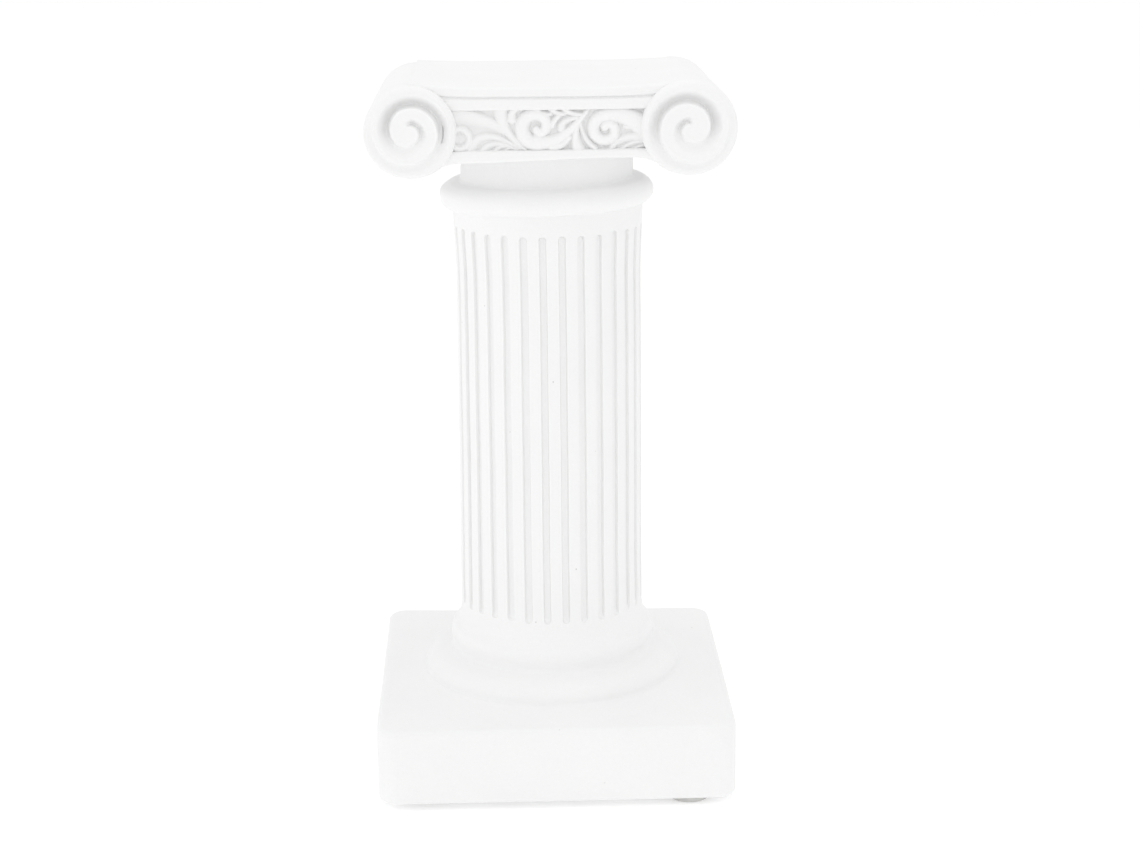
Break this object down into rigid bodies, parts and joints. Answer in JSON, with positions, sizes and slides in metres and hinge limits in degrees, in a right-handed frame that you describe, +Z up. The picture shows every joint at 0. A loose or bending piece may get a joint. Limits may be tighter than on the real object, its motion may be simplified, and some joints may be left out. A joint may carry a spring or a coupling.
{
  "type": "decorative column",
  "caption": "White cast tabletop column with a square plinth, moulded base, fluted shaft and scrolled capital with a leaf frieze, standing on round stick-on pads.",
  "frame": {"origin": "on the surface it stands on, under the middle of the square plinth", "axes": "+Z up the shaft, the carved front faces -Y, +X to the right seen from the front"},
  "size_m": [0.086, 0.086, 0.1722],
  "materials": {
    "cast_resin": "matt white cast resin",
    "pad_rubber": "soft pale grey"
  },
  "bodies": {
    "root": {"column": "cast_resin", "pad_front_left": "pad_rubber", "pad_front_right": "pad_rubber", "pad_back_left": "pad_rubber", "pad_back_right": "pad_rubber"}
  },
  "joints": []
}
